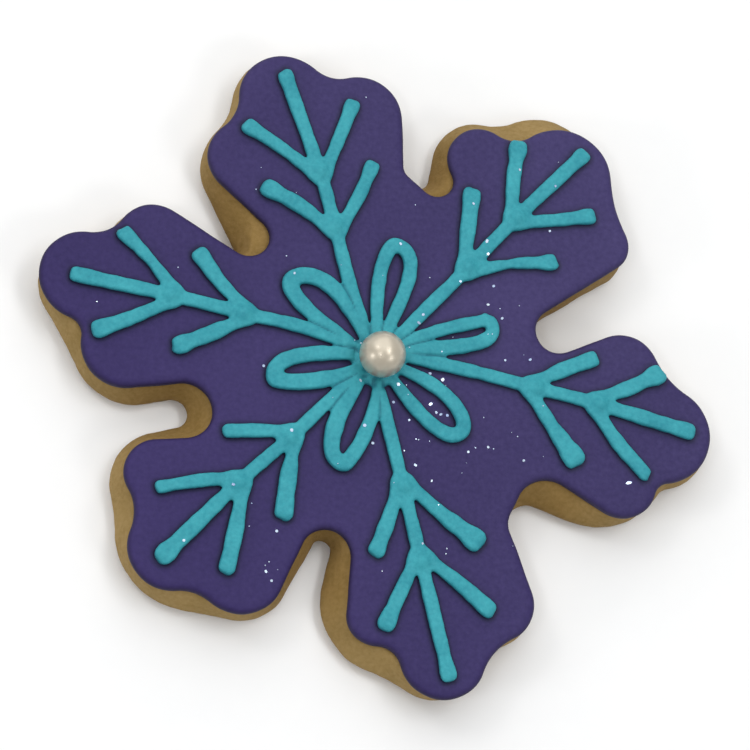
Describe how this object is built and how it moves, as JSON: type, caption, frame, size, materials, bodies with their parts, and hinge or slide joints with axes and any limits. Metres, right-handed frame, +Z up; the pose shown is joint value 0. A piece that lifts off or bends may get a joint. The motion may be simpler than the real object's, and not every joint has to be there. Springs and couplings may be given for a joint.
{
  "type": "iced sugar cookie",
  "caption": "Snowflake-shaped sugar biscuit with flood icing, a piped snowflake with petal loops and a sugar pearl at its centre, lying flat",
  "frame": {"origin": "on the flat underside, straight below the sugar pearl at the middle of the snowflake", "axes": "+Z up out of the iced face, +X along the picture's right and +Y along the picture's up, seen from above; the cookie lies flat on XY"},
  "size_m": [0.1029, 0.1009, 0.0155],
  "materials": {
    "biscuit": "baked golden-tan sugar dough, matte and finely grained",
    "flood_icing": "set royal icing, dusky purple, satin",
    "piping": "set royal icing, turquoise, matte to satin",
    "sugar_pearl": "cream sugar bead with a pearly lustre"
  },
  "bodies": {
    "root": {"biscuit": "biscuit", "flood_icing": "flood_icing", "piping": "piping", "sugar_pearl": "sugar_pearl"}
  },
  "joints": []
}
